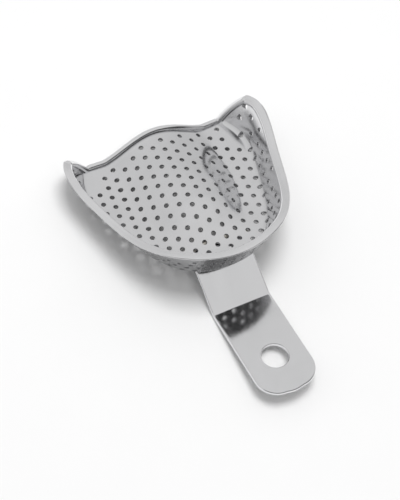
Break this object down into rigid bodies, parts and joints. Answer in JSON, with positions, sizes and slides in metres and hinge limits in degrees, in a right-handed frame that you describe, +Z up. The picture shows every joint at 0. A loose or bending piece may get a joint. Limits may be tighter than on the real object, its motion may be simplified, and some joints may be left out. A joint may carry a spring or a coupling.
{
  "type": "impression tray",
  "caption": "Full-arch perforated metal impression tray for the upper teeth, with a retention bead round the flange and rear edge and a bent strip handle with an eye.",
  "frame": {"origin": "centre of the footprint, on the bench the tray stands on", "axes": "+X towards the wearer's left, which is the viewer's right when looking from the handle, +Y from the handle towards the back of the mouth, +Z up; the tray leans back 11.6 degrees, as it stands on its handle's bend and the rear of its trough"},
  "size_m": [0.0818, 0.1166, 0.0286],
  "materials": {
    "pressed_steel": "pressed and punched stainless steel, polished inside and shown satin outside",
    "bead_steel": "mirror-polished stainless half-round wire",
    "strip_steel": "polished stainless strip",
    "silver_braze": "satin silver braze"
  },
  "bodies": {
    "root": {"tray_shell": "pressed_steel", "flange_bead": "bead_steel", "palatal_bead": "bead_steel", "handle": "strip_steel", "handle_braze": "silver_braze"}
  },
  "joints": []
}
